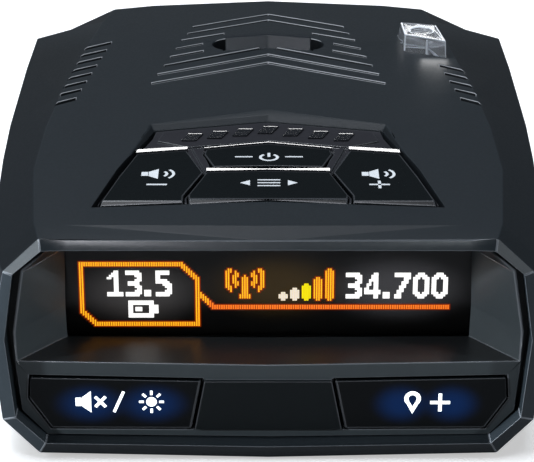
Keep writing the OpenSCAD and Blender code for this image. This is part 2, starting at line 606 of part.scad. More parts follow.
top_cover();
bottom_cover();
front_bezel();
display_fascia();
center_panel();
mute_button();
mark_button();
front_switch_board();
front_switches();
front_key_lights();
display_window();
display_module();
display_frame();
display_flex();
keypad_trim();
volume_down_button();
volume_up_button();
power_button();
menu_button();
keypad_board();
keypad_switches();
keypad_posts();
keypad_flex();
bracket_socket();
release_button();
latch_plate();
release_springs();
release_guide();
rear_laser_lens();
rear_laser_sensor();
front_laser_window();
front_laser_sensors();
main_board();
board_screws();
case_screws();
processor();
processor_shield();
horn_antenna();
mixer_board();
mixer_cover();
gps_antenna();
backup_capacitor();
speaker_basket();
speaker_cone();
speaker_magnet();
speaker_gasket();
power_jack();
usb_port();
audio_jack();
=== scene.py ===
"""Looks of the windshield radar detector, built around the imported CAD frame.

All places are in the part frame, in metres. spot() takes millimetres from the
front of the bezel, which is how the case is laid out.
"""
import json
import math

import bmesh
import bpy
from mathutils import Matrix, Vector


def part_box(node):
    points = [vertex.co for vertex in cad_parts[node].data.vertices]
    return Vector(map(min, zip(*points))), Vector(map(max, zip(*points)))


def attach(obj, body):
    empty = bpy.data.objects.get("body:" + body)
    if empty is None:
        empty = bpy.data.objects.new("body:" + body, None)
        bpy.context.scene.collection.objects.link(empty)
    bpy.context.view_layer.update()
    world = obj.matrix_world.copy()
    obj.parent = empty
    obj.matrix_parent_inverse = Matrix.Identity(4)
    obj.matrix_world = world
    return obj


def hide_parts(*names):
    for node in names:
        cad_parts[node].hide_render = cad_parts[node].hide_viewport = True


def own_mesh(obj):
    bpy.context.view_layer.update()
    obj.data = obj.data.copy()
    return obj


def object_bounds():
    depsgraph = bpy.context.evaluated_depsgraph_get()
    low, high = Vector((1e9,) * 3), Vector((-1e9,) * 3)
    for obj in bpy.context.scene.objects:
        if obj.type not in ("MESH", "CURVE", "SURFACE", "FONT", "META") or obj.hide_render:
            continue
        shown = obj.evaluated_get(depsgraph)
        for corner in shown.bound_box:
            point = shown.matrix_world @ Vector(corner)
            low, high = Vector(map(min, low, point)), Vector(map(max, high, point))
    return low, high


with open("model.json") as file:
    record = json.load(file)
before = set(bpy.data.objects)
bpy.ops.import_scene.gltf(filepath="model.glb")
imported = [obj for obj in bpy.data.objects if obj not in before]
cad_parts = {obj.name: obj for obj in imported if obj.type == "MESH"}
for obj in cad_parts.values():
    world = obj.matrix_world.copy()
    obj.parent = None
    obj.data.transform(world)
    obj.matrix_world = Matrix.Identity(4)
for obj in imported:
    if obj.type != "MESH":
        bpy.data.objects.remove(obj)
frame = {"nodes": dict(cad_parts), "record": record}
CAD_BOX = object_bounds()
NODES = frame["nodes"]
MM = 0.001
FRONT = CAD_BOX[0].y
HOUSING = "housing"
KEY_TOP = 32.7          # height of the top keys, mm
KEY_FACE = 2.1          # how far the front keys' faces lie behind the bezel's front
MUTE_X = -19.1          # middle of the lit symbols on each front key
MARK_X = 20.6
RIGHT = Vector((1, 0, 0))
FLAT = (RIGHT, Vector((0, 1, 0)))       # across and up of an outline that lies on the part
UPRIGHT = (RIGHT, Vector((0, 0, 1)))    # and of one that faces the driver


def spot(x, y, z):
    """A point given in millimetres from the bezel's front, in the part frame."""
    return Vector((x * MM, FRONT + y * MM, z * MM))


# ---------------------------------------------------------------- materials
class Shader:
    """A principled material and short ways to add nodes to it."""

    def __init__(self, name):
        self.material = bpy.data.materials.new(name)
        self.material.use_nodes = True
        self.tree = self.material.node_tree
        self.bsdf = self.tree.nodes["Principled BSDF"]
        self.place = self.node("ShaderNodeTexCoord").outputs["Object"]

    def node(self, kind, **settings):
        made = self.tree.nodes.new(kind)
        for key, value in settings.items():
            setattr(made, key, value)
        return made

    def link(self, source, target):
        self.tree.links.new(source, target)

    def set(self, **values):
        for key, value in values.items():
            self.bsdf.inputs[key.replace("_", " ")].default_value = value
        return self

    def noise(self, scale, detail=2.0, stretch=None):
        made = self.node("ShaderNodeTexNoise")
        made.inputs["Scale"].default_value = scale
        made.inputs["Detail"].default_value = detail
        source = self.place
        if stretch:
            mapping = self.node("ShaderNodeMapping")
            mapping.inputs["Scale"].default_value = stretch
            self.link(source, mapping.inputs["Vector"])
            source = mapping.outputs["Vector"]
        self.link(source, made.inputs["Vector"])
        return made.outputs["Fac"]

    def ranged(self, source, low, high):
        """Stretches a noise, which stays near its middle, over low to high."""
        made = self.node("ShaderNodeMapRange")
        made.inputs["From Min"].default_value = 0.3
        made.inputs["From Max"].default_value = 0.7
        made.inputs["To Min"].default_value = low
        made.inputs["To Max"].default_value = high
        self.link(source, made.inputs["Value"])
        return made.outputs["Result"]

    def mottle(self, color, amount, scale=900.0):
        """Base colour that drifts a little across the surface."""
        mix = self.node("ShaderNodeMix", data_type="RGBA")
        mix.inputs["A"].default_value = (*[c * (1 - amount) for c in color], 1)
        mix.inputs["B"].default_value = (*[c * (1 + amount) for c in color], 1)
        self.link(self.ranged(self.noise(scale), 0, 1), mix.inputs["Factor"])
        self.link(mix.outputs["Result"], self.bsdf.inputs["Base Color"])
        return self

    def rough(self, low, high, scale=500.0, stretch=None):
        drift = self.ranged(self.noise(scale, stretch=stretch), low, high)
        self.link(drift, self.bsdf.inputs["Roughness"])
        return self

    def grain(self, scale, depth, strength=0.5, detail=3.0, stretch=None):
        bump = self.node("ShaderNodeBump")
        bump.inputs["Strength"].default_value = strength
        bump.inputs["Distance"].default_value = depth
        self.link(self.noise(scale, detail, stretch), bump.inputs["Height"])
        self.link(bump.outputs["Normal"], self.bsdf.inputs["Normal"])
        return self

    def glow(self, color, strength):
        return self.set(Emission_Color=(*color, 1), Emission_Strength=strength)


def plastic(name, color, low, high, grain=5200, depth=1.2e-5, strength=0.35, amount=0.05):
    return Shader(name).mottle(color, amount).rough(low, high, 2600).grain(grain, depth, strength)


def metal(name, color, low, high, stretch=(1, 1, 1), depth=1e-5):
    made = Shader(name).mottle(color, 0.08, 200).rough(low, high, 1800, stretch)
    return made.grain(2400, depth, 0.3, 2, stretch).set(Metallic=1.0)


def lit(name, color, strength):
    """A lit dot or legend, a little uneven from one place to the next."""
    made = Shader(name).mottle(color, 0.12, 900).rough(0.3, 0.5)
    return made.glow(color, strength)


def circuit_board(name):
    """Green board, with the fine grid of its glass cloth."""
    made = Shader(name)
    weave = made.node("ShaderNodeTexBrick")
    weave.inputs["Scale"].default_value = 330
    weave.inputs["Color1"].default_value = (0.012, 0.12, 0.055, 1)
    weave.inputs["Color2"].default_value = (0.01, 0.095, 0.045, 1)
    weave.inputs["Mortar"].default_value = (0.03, 0.2, 0.1, 1)
    weave.inputs["Mortar Size"].default_value = 0.04
    made.link(made.place, weave.inputs["Vector"])
    made.link(weave.outputs["Color"], made.bsdf.inputs["Base Color"])
    return made.rough(0.3, 0.42).grain(1500, 1e-5, 0.2)


def paint_light_by_facing(made, axis, start, full, color, beyond=None):
    """Painted light and shade: another colour on the faces that look along an axis of the part.

    beyond keeps it to what lies more than that many millimetres behind the bezel's front.
    """
    axes = made.node("ShaderNodeSeparateXYZ")
    made.link(made.node("ShaderNodeTexCoord").outputs["Normal"], axes.inputs["Vector"])
    facing = made.node("ShaderNodeMapRange")
    facing.inputs["From Min"].default_value = start
    facing.inputs["From Max"].default_value = full
    made.link(axes.outputs[axis], facing.inputs["Value"])
    mix = made.node("ShaderNodeMix", data_type="RGBA")
    made.link(made.bsdf.inputs["Base Color"].links[0].from_socket, mix.inputs["A"])
    mix.inputs["B"].default_value = (*color, 1)
    share = facing.outputs["Result"]
    if beyond is not None:
        along = made.node("ShaderNodeSeparateXYZ")
        made.link(made.place, along.inputs["Vector"])
        far = made.node("ShaderNodeMath", operation="GREATER_THAN")
        far.inputs[1].default_value = spot(0, beyond, 0).y
        made.link(along.outputs["Y"], far.inputs[0])
        both = made.node("ShaderNodeMath", operation="MULTIPLY")
        made.link(share, both.inputs[0])
        made.link(far.outputs["Value"], both.inputs[1])
        share = both.outputs["Value"]
    made.link(share, mix.inputs["Factor"])
    made.link(mix.outputs["Result"], made.bsdf.inputs["Base Color"])


def shine_through(made, lamps):
    """Light that shows through a moulding: lamps are (centre, half sizes in mm, colour)."""
    total = None
    for center, half, color in lamps:
        mapping = made.node("ShaderNodeMapping", vector_type="TEXTURE")
        mapping.inputs["Location"].default_value = center
        mapping.inputs["Scale"].default_value = [h * MM for h in half]
        made.link(made.place, mapping.inputs["Vector"])
        ball = made.node("ShaderNodeVectorMath", operation="LENGTH")
        made.link(mapping.outputs["Vector"], ball.inputs[0])
        fall = made.node("ShaderNodeMapRange", interpolation_type="SMOOTHERSTEP")
        for key, value in (("From Min", 0.1), ("From Max", 1.0), ("To Min", 1.0), ("To Max", 0.0)):
            fall.inputs[key].default_value = value
        made.link(ball.outputs["Value"], fall.inputs["Value"])
        mix = made.node("ShaderNodeMix", data_type="RGBA", blend_type="ADD")
        mix.inputs["A"].default_value = (0, 0, 0, 1)
        mix.inputs["B"].default_value = (*color, 1)
        made.link(fall.outputs["Result"], mix.inputs["Factor"])
        if total:
            made.link(total, mix.inputs["A"])
        total = mix.outputs["Result"]
    made.link(total, made.bsdf.inputs["Emission Color"])
    return made.set(Emission_Strength=1.0)


def make_materials():
    """Every finish by its short name."""
    case = (0.0145, 0.0185, 0.0225)
    black = (0.0025, 0.0038, 0.0048)
    made = {
        "case": plastic("case_plastic", case, 0.50, 0.56, depth=4e-6),
        "bezel": plastic("bezel_plastic", (0.0052, 0.0068, 0.0082), 0.18, 0.22, depth=3e-7),
        "fascia": plastic("fascia_plastic", (0.013, 0.0165, 0.0185), 0.38, 0.44, depth=4e-6),
        "trim": plastic("keypad_trim_plastic", (0.026, 0.026, 0.031), 0.3, 0.36, depth=5e-7),
        "accent": plastic("accent_plastic", (0.006, 0.0095, 0.011), 0.40, 0.46),
        "top_key": plastic("top_key_plastic", (0.0045, 0.0062, 0.0072), 0.26, 0.32, depth=5e-7),
        "front_key": plastic("front_key_plastic", black, 0.34, 0.4, depth=6e-6),
        "release": plastic("release_plastic", (0.020, 0.023, 0.028), 0.34, 0.40),
        # the edge finish is glossier than the faces, and its lighter colour is a painted highlight
        # along the rounded edges
        "edge": plastic("polished_edge_painted_highlight", (0.042, 0.045, 0.050), 0.2, 0.26, depth=5e-7),
        "case_edge": plastic("case_edge", case, 0.46, 0.52, depth=5e-7),
        # the near-white of the lens's rounded edges and rib is a painted highlight
        "lens_edge_painted_highlight": plastic("lens_edge_painted_highlight", (0.75, 0.78, 0.84), 0.2, 0.3, depth=1e-6),
        "badge": plastic("badge_plastic", (0.014, 0.015, 0.018), 0.14, 0.2, depth=5e-7),
        "bead": plastic("polished_bead", (0.04, 0.042, 0.048), 0.12, 0.16, depth=2e-7),
        "window": Shader("smoked_window").rough(0.02, 0.04).grain(90, 2e-6, 0.05),
        "display": plastic("display_glass", (0.017, 0.0155, 0.014), 0.3, 0.36, depth=2e-6),
        "inner_plastic": plastic("inner_plastic", (0.012, 0.014, 0.016), 0.45, 0.6),
        "board": circuit_board("circuit_board"),
        "metal": metal("tinned_steel", (0.62, 0.62, 0.6), 0.28, 0.42),
        "steel": metal("plated_steel", (0.5, 0.5, 0.5), 0.3, 0.45),
        "led": plastic("lamp_package", (0.75, 0.75, 0.72), 0.4, 0.5),
        "flex": plastic("flexible_circuit", (0.55, 0.22, 0.03), 0.3, 0.45),
        "clear_lens": Shader("clear_acrylic").rough(0.02, 0.06).grain(160, 2e-6, 0.1),
        "ir_window": plastic("infrared_window", (0.010, 0.002, 0.004), 0.05, 0.1, 400, 2e-6, 0.1),
        "sensor": plastic("sensor_epoxy", (0.10, 0.10, 0.11), 0.12, 0.2),
        "chip": plastic("chip_package", (0.012, 0.012, 0.013), 0.5, 0.65),
        "casting": metal("die_cast_zinc", (0.5, 0.5, 0.49), 0.38, 0.55, depth=3e-5),
        "ceramic_patch": plastic("fired_ceramic", (0.5, 0.42, 0.3), 0.5, 0.65),
        "capacitor": plastic("capacitor_sleeve", (0.05, 0.1, 0.25), 0.3, 0.4),
        "speaker_metal": metal("pressed_steel", (0.3, 0.3, 0.3), 0.35, 0.5),
        "paper": plastic("treated_paper", (0.02, 0.02, 0.022), 0.7, 0.9, 1400, 6e-5, 0.8),
        "foam": plastic("gasket_foam", (0.012, 0.012, 0.012), 0.8, 0.95, 1200, 8e-5, 0.9),
        "paint": plastic("legend_paint", (0.74, 0.77, 0.80), 0.35, 0.5),
        "legend": lit("legend_lit", (0.92, 0.97, 1.0), 1.6),
        "gold": metal("gold_contact", (0.8, 0.55, 0.2), 0.2, 0.3),
        "cloth": plastic("speaker_cloth", (0.012, 0.012, 0.013), 0.8, 0.95, 1500, 8e-5, 0.9),
        # a screw's cross recess drawn as a dark plate: painted shade
        "spring": metal("spring_steel", (0.45, 0.45, 0.46), 0.22, 0.32),
        "recess": plastic("screw_cross_painted_shade", (0.02, 0.02, 0.02), 0.6, 0.7),
        "white_dot": lit("dot_white", (1.0, 0.99, 0.97), 1.5),
        "cream_dot": lit("dot_cream", (1.0, 0.88, 0.70), 1.1),
        "yellow_dot": lit("dot_yellow", (1.0, 0.83, 0.0), 1.2),
        "amber_dot": lit("dot_amber", (1.0, 0.44, 0.014), 1.5),
        "red_dot": lit("dot_red", (1.0, 0.21, 0.02), 1.4),
        "halo": lit("dot_halo", (0.20, 0.018, 0.0), 1.0),
    }
    made["window"].set(Transmission_Weight=1.0, IOR=1.2, Base_Color=(0.8, 0.8, 0.8, 1))
    made["clear_lens"].set(Transmission_Weight=0.85, IOR=1.49, Base_Color=(0.9, 0.92, 0.96, 1))
    for key in ("edge", "bead"):
        made[key].set(Specular_IOR_Level=0.9)
    for key in ("front_key", "accent"):
        made[key].set(Specular_IOR_Level=0.25)
    blue = (0.0, 0.013, 0.068)
    for key, x, half in (("mute_key", MUTE_X, 10.2), ("mark_key", MARK_X, 8.2)):
        backlit = plastic(key + "_plastic", black, 0.34, 0.4, depth=6e-6).set(Specular_IOR_Level=0.25)
        reach = (half * 0.58, 6, 3.6)
        places = [spot(x + share * half, KEY_FACE, 7.4) for share in (-0.4, 0.4)]
        made[key] = shine_through(backlit, [(place, reach, blue) for place in places])
    # slope is painted shade, the darker colour given to the case's sloped sides
    slope = (0.0082, 0.0104, 0.0127)
    # painted shade for the fascia's faces that look up
    painted_ledge_shade = (0.0035, 0.0042, 0.0048)
    # painted highlight for the case's groove edges that face the driver
    painted_groove_highlight = (0.36, 0.37, 0.39)
    for side in (-1, 1):    # painted shade: the sloped sides are given a darker colour than the deck and the walls
        paint_light_by_facing(made["case"], "X", 0.22 * side, 0.4 * side, slope)
        paint_light_by_facing(made["case"], "X", 0.75 * side, 0.9 * side, case)
    # painted shade: the fascia's faces that look up are made darker
    paint_light_by_facing(made["fascia"], "Z", 0.8, 0.95, painted_ledge_shade)
    hood_end = 46           # the vents and grooves start just behind the hood, mm
    # painted highlight: light grey on the case's groove edges that face the driver, behind the hood
    paint_light_by_facing(made["case_edge"], "Y", -0.35, -0.55, painted_groove_highlight, beyond=hood_end)
    shine_through(made["display"], [
        (spot(17, 11.8, 19.6), (12, 6, 6), (0.05, 0.05, 0.055)),
        (spot(-17, 11.8, 19), (11, 6, 6), (0.045, 0.042, 0.042)),
        (spot(1, 11.8, 20), (12, 6, 6), (0.035, 0.021, 0.004)),
    ])
    return {key: shader.material for key, shader in made.items()}


# ---------------------------------------------------------------- CAD nodes
def paint_nodes():
    """Gives each CAD node the finish of its material slot, or its own."""
    own = {
        "keypad_trim": "trim",
        "mute_button": "mute_key",  # its legend is lit from behind
        "mark_button": "mark_key",
        "release_springs": "spring",
    }
    slots = {s["node"]: s["material_slot"] for s in frame["record"]["subparts"]}
    for name, node in NODES.items():
        node.data.materials.clear()
        node.data.materials.append(MATERIALS[own.get(name, slots[name])])


def soften(name, width, edge):
    """Rounds a CAD node's edges with modifiers, leaving the shape of its own mesh alone.

    Its triangles are merged into flat faces first, so that only true edges are rounded.
    """
    node = NODES[name]
    if edge:
        node.data.materials.append(MATERIALS[edge])
    for layer in ("custom_normal", "sharp_edge", "sharp_face"):
        if layer in node.data.attributes:
            node.data.attributes.remove(node.data.attributes[layer])
    node.data.shade_smooth()
    weld = node.modifiers.new("weld", "WELD")
    weld.merge_threshold = 2e-6
    flat = node.modifiers.new("flat", "DECIMATE")
    flat.decimate_type = "DISSOLVE"
    flat.angle_limit = math.radians(0.15)
    node.modifiers.new("triangles", "TRIANGULATE")
    bevel = node.modifiers.new("bevel", "BEVEL")
    bevel.width = width * MM
    bevel.segments = 2
    bevel.limit_method = "ANGLE"
    bevel.angle_limit = math.radians(14.0)
    bevel.use_clamp_overlap = False
    bevel.material = 1 if edge else -1
    normals = node.modifiers.new("normals", "WEIGHTED_NORMAL")
    normals.weight = 80
    normals.keep_sharp = False


def soften_nodes():
    """Rounds every node by its own width in mm, and gives some a finish on the rounding, which paints
    highlights on the rounding of the bezel, fascia, panel, keys, trim, lens and case grooves.
    """
    widths = {
        "top_cover": 0.14, "bottom_cover": 0.14, "front_bezel": 0.12, "display_fascia": 0.14,
        "center_panel": 0.14, "mute_button": 0.24, "mark_button": 0.24, "keypad_trim": 0.12,
        "volume_down_button": 0.2, "volume_up_button": 0.2, "power_button": 0.2,
        "menu_button": 0.2, "release_button": 0.2, "rear_laser_lens": 0.22,
        "front_laser_window": 0.2, "display_window": 0.06, "bracket_socket": 0.15,
        "power_jack": 0.15, "usb_port": 0.08, "audio_jack": 0.12, "case_screws": 0.12,
        "horn_antenna": 0.3, "processor_shield": 0.15, "latch_plate": 0.1, "speaker_basket": 0.2,
    }
    edged = ("front_bezel", "display_fascia", "center_panel", "mute_button", "mark_button",
             "keypad_trim", "volume_down_button", "volume_up_button", "power_button", "menu_button")
    edges = {name: "edge" for name in edged}
    edges["top_cover"] = "case_edge"
    edges["release_button"] = "case"
    # painted highlight on the lens's rounded edges
    edges["rear_laser_lens"] = "lens_edge_painted_highlight"
    for name in NODES:
        soften(name, widths.get(name, 0.08), edges.get(name))


# ---------------------------------------------------------------- small pieces
def add_piece(name, build, material, body=HOUSING):
    """Runs build(mesh) on an empty bmesh and adds the result as one piece."""
    mesh = bmesh.new()
    build(mesh)
    data = bpy.data.meshes.new(name)
    mesh.to_mesh(data)
    mesh.free()
    data.materials.append(MATERIALS[material])
    piece = bpy.data.objects.new(name, data)
    bpy.context.scene.collection.objects.link(piece)
    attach(piece, body)
    return piece


def prism(mesh, outline, origin, across, up, thickness):
    """A flat plate: outline points (u, v) in mm on the plane through origin."""
    out = across.cross(up).normalized() * (thickness * MM)
    ring = [origin + across * (u * MM) + up * (v * MM) for u, v in outline]
    low = [mesh.verts.new(p) for p in ring]
    high = [mesh.verts.new(p + out) for p in ring]
    mesh.faces.new(high)
    mesh.faces.new(low[::-1])
    count = len(ring)
    for i in range(count):
        j = (i + 1) % count
        mesh.faces.new((low[i], low[j], high[j], high[i]))


def bar(u0, v0, u1, v1, width):
    """Outline of a straight stroke, anticlockwise."""
    along = Vector((u1 - u0, v1 - v0)).normalized() * (width / 2)
    side = Vector((-along.y, along.x))
    a, b = Vector((u0, v0)), Vector((u1, v1))
    return [tuple(a - side), tuple(b - side), tuple(b + side), tuple(a + side)]


def turns(steps):
    """The angles of a full turn in equal steps."""
    return [math.tau * i / steps for i in range(steps)]


def around(u, v, radius, angles):
    """Points on a circle about (u, v)."""
    return [(u + radius * math.cos(a), v + radius * math.sin(a)) for a in angles]


def arc(u, v, radius, width, start, end, steps=18):
    """Outline of a curved stroke about (u, v), angles in degrees, anticlockwise."""
    angles = [math.radians(start + (end - start) * i / steps) for i in range(steps + 1)]
    return around(u, v, radius + width / 2, angles) + around(u, v, radius - width / 2, angles[::-1])


def disc(u, v, radius, steps=24):
    """Outline of a round plate."""
    return around(u, v, radius, turns(steps))


def moved(shapes, u, v, k=1.0):
    """Outlines made k times as large and then shifted by (u, v)."""
    return [[(u + x * k, v + y * k) for x, y in shape] for shape in shapes]


# Strokes of the symbols, in millimetres from each one's own middle
SPEAKER = [
    [(-1.4, -0.45), (-0.8, -0.45), (-0.8, 0.45), (-1.4, 0.45)],
    [(-0.75, -0.5), (0.1, -1.15), (0.1, 1.15), (-0.75, 0.5)],
]
CROSS = [bar(0.5, -0.55, 1.5, 0.55, 0.3), bar(0.5, 0.55, 1.5, -0.55, 0.3)]
WAVES = [arc(0.1, 0, 0.75, 0.25, -45, 45), arc(0.1, 0, 1.35, 0.25, -45, 45)]
SUN = [disc(0, 0, 0.55)] + [
    bar(*inner, *outer, 0.26)
    for inner, outer in zip(around(0, 0, 0.8, turns(8)), around(0, 0, 1.3, turns(8)))
]
PIN = [
    arc(0, 0.35, 0.62, 0.42, -40, 220, 26),
    [(-0.62, -0.16), (0, -1.35), (0.62, -0.16), (0.3, 0.0), (0, -0.55), (-0.3, 0.0)],
]
POWER = [arc(0, 0, 1.0, 0.34, 125, 415, 30), bar(0, 0.15, 0, 1.4, 0.34)]
LINES = [bar(-1.5, k, 1.5, k, 0.34) for k in (-1.0, 0.0, 1.0)]
ARROWS = [[(-3.8, 0), (-2.5, -0.9), (-2.5, 0.9)], [(2.5, -0.9), (3.8, 0), (2.5, 0.9)]]


def legend(name, shapes, center, body, lying, material):
    """Printed or lit symbols on a key, lying on its top or standing on its front."""
    gap, depth = 0.004, 0.02        # off the key, and their own thickness, mm
    across, up = FLAT if lying else UPRIGHT
    origin = center + across.cross(up).normalized() * (gap * MM)

    def build(mesh):
        for shape in shapes:
            prism(mesh, shape, origin, across, up, depth)

    add_piece(name, build, material, body)


def add_legends():
    slash = bar(-1.0, -1.5, 0.3, 1.5, 0.38)
    mute = moved(SPEAKER + CROSS, -4.1, 0, 1.35) + [slash] + moved(SUN, 3.9, 0, 1.25)
    legend("mute_symbol", mute, spot(MUTE_X, KEY_FACE, 7.7), "mute_button", False, "legend")
    plus = [bar(0.5, 0, 3.1, 0, 0.46), bar(1.8, -1.3, 1.8, 1.3, 0.46)]
    mark = moved(PIN, -1.8, 0.1, 1.3) + plus
    legend("mark_symbol", mark, spot(MARK_X, KEY_FACE, 7.6), "mark_button", False, "legend")
    dashes = [bar(-4.6, 0, -2.2, 0, 0.36), bar(2.2, 0, 4.6, 0, 0.36)]
    power = moved(POWER, 0, -0.2, 1.15) + dashes
    legend("power_symbol", power, spot(0.1, 25.6, KEY_TOP), "power_key", True, "paint")
    legend("menu_symbol", LINES + ARROWS, spot(0.1, 16.3, KEY_TOP), "menu_key", True, "paint")
    minus = bar(-1.35, -3.2, 1.35, -3.2, 0.45)
    upright = bar(0, -4.5, 0, -1.9, 0.4)
    for side, way, strokes in ((-1, "down", [minus]), (1, "up", [minus, upright])):
        shapes = moved(SPEAKER + WAVES, -0.1, 0.5, 1.5) + strokes
        place = spot(side * 14.65, 18.9, KEY_TOP)
        legend(f"volume_{way}_symbol", shapes, place, f"volume_{way}_key", True, "paint")


# ---------------------------------------------------------------- fittings
def bead(mesh, run, foot, crest, slope=0.132):
    """A low ridge whose top falls by slope away from the driver; run lists x, near y and width."""
    rows = []
    for x, y, wide in run:
        section = ((y, foot), (y, crest), (y + wide, crest - slope * wide), (y + wide, foot))
        rows.append([mesh.verts.new(spot(x, along, up)) for along, up in section])
    for a, b in zip(rows, rows[1:]):
        for i in range(4):
            mesh.faces.new((a[i], b[i], b[(i + 1) % 4], a[(i + 1) % 4]))
    mesh.faces.new(rows[0])
    mesh.faces.new(rows[-1][::-1])
    bmesh.ops.recalc_face_normals(mesh, faces=mesh.faces)


def add_badge():
    """Plain slanted ribs on the raised field behind the keys."""
    def build(mesh):
        pitch, peak_y, fall = 3.5, 35.6, 0.27       # the row of ribs is peaked, as the field is
        foot, height, proud = 32.64, 0.22, 0.06     # of a rib, and of the bright line on it
        for i in range(-3, 4):
            x = pitch * i
            y = peak_y - abs(x) * fall
            rib = [(x - 1.5, y - 1.3), (x + 0.5, y - 1.3), (x + 1.5, y + 1.3), (x - 0.5, y + 1.3)]
            prism(mesh, rib, spot(0, 0, foot), *FLAT, height)
            far_edge = [(x - 0.7, y + 0.9, 0.45), (x + 1.35, y + 0.9, 0.45)]
            bead(mesh, far_edge, foot + proud, foot + height + proud)

    ribs = add_piece("badge_ribs", build, "badge")
    bevel = ribs.modifiers.new("bevel", "BEVEL")
    bevel.width = 0.06 * MM
    bevel.segments = 2
    bevel.limit_method = "ANGLE"


def add_beads():
    """Polished beads on the keypad tray, along the far edges of its keys."""
    volume = [(-17.95, 26.95, 1.7), (-11.05, 28.25, 1.4)]
    runs = {
        "volume_down_bead": volume,
        "volume_up_bead": [(-x, y, wide) for x, y, wide in reversed(volume)],
        "menu_bead": [(-8.25, 20.3, 1.45), (0, 20.78, 0.4), (8.25, 20.3, 1.45)],
        "power_bead": [(-8.75, 28.6, 0.3), (0, 30.8, 0.3), (8.75, 28.6, 0.3)],
    }
    foot, crest = 32.2, 32.82
    for name, run in runs.items():
        add_piece(name, lambda mesh, r=run: bead(mesh, r, foot, crest), "bead")


def brick(mesh, low, high):
    """A block between two corners given in millimetres from the bezel's front."""
    outline = [(low[0], low[1]), (high[0], low[1]), (high[0], high[1]), (low[0], high[1])]
    prism(mesh, outline, spot(0, 0, low[2]), *FLAT, high[2] - low[2])


def ring(mesh, center, axis, side, inner, outer, depth, steps=40):
    """A washer: its centre, axis, direction of one radius, and radii and depth in mm."""
    other = axis.cross(side)
    loops = []
    for radius, along in ((inner, 0), (outer, 0), (outer, depth), (inner, depth)):
        middle = center + axis * along * MM
        spokes = [side * math.cos(a) + other * math.sin(a) for a in turns(steps)]
        loops.append([mesh.verts.new(middle + spoke * radius * MM) for spoke in spokes])
    for a, b in zip(loops, loops[1:] + loops[:1]):
        for i in range(steps):
            j = (i + 1) % steps
            mesh.faces.new((a[i], b[i], b[j], a[j]))


def middle_y(node):
    """The middle of a node, in millimetres from the bezel's front."""
    low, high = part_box(node)
    return ((low + high) / 2).y / MM - FRONT / MM


def add_socket_contacts():
    """Contacts in the three sockets of the left wall, each about the middle of its socket."""
    y_power, y_data, y_phone = (middle_y(name) for name in ("power_jack", "usb_port", "audio_jack"))
    wire_pitch, wire_wide, pad_pitch = 1.02, 0.32, 0.8

    def wires(mesh):
        outline = [(-35.2, 16.7), (-26.5, 13.4), (-26.5, 13.9), (-35.2, 17.2)]
        for k in range(6):
            y = y_power + wire_pitch * (k - 2.5)
            prism(mesh, outline, spot(0, y + wire_wide / 2, 0), *UPRIGHT, wire_wide)

    def tongue(mesh):
        brick(mesh, (-34.2, y_data - 2.4, 12.0), (-29.7, y_data + 2.4, 12.45))

    def pads(mesh):
        for k in range(5):
            y = y_data + pad_pitch * (k - 2)
            brick(mesh, (-34.0, y - 0.2, 11.93), (-30.2, y + 0.2, 11.99))

    def collar(mesh):
        bore, outside, depth = 1.82, 2.5, 0.12
        ring(mesh, spot(-36.05, y_phone, 12.4), RIGHT, Vector((0, 0, 1)), bore, outside, depth)

    add_piece("power_contacts", wires, "gold")
    add_piece("data_tongue", tongue, "inner_plastic")
    add_piece("data_contacts", pads, "gold")
    add_piece("earphone_collar", collar, "metal")


def add_underside():
    """Cloth behind the grille, and a dark cross on each case screw that is painted shade for its
    recess.
    """
    cone_low, cone_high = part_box("speaker_cone")
    middle = (cone_low + cone_high) / 2
    radius = (cone_high.x - cone_low.x) / 2 / MM

    def cloth(mesh):
        foot, thickness = 2.3, 0.15
        place = Vector((middle.x, middle.y, foot * MM))
        prism(mesh, disc(0, 0, radius, 48), place, *FLAT, thickness)

    # the dark crosses are painted shade for the screws' cross recesses
    def crosses(mesh):
        low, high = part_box("case_screws")
        inset, proud = 1.9 * MM, 0.02 * MM      # from the box of all four screws to a middle
        reach, wide, thickness = 1.15, 0.45, 0.03
        for x in (low.x + inset, high.x - inset):
            for y in (low.y + inset, high.y - inset):
                for stroke in (bar(-reach, 0, reach, 0, wide), bar(0, -reach, 0, reach, wide)):
                    prism(mesh, stroke, Vector((x, y, low.z - proud)), *FLAT, thickness)

    sheet = add_piece("speaker_cloth", cloth, "cloth")
    add_piece("screw_crosses", crosses, "recess")


def add_lens_rib():
    """The upright edge between the two front faces of the lens, a thin near-white strip that is a
    painted highlight.
    """
    rib = [(24.2, 68.5), (24.4, 68.4), (24.4, 69.0), (24.2, 69.1)]
    foot, height = 31.95, 2.9

    def build(mesh):
        prism(mesh, rib, spot(0, 0, foot), *FLAT, height)

    add_piece("lens_rib", build, "lens_edge_painted_highlight")


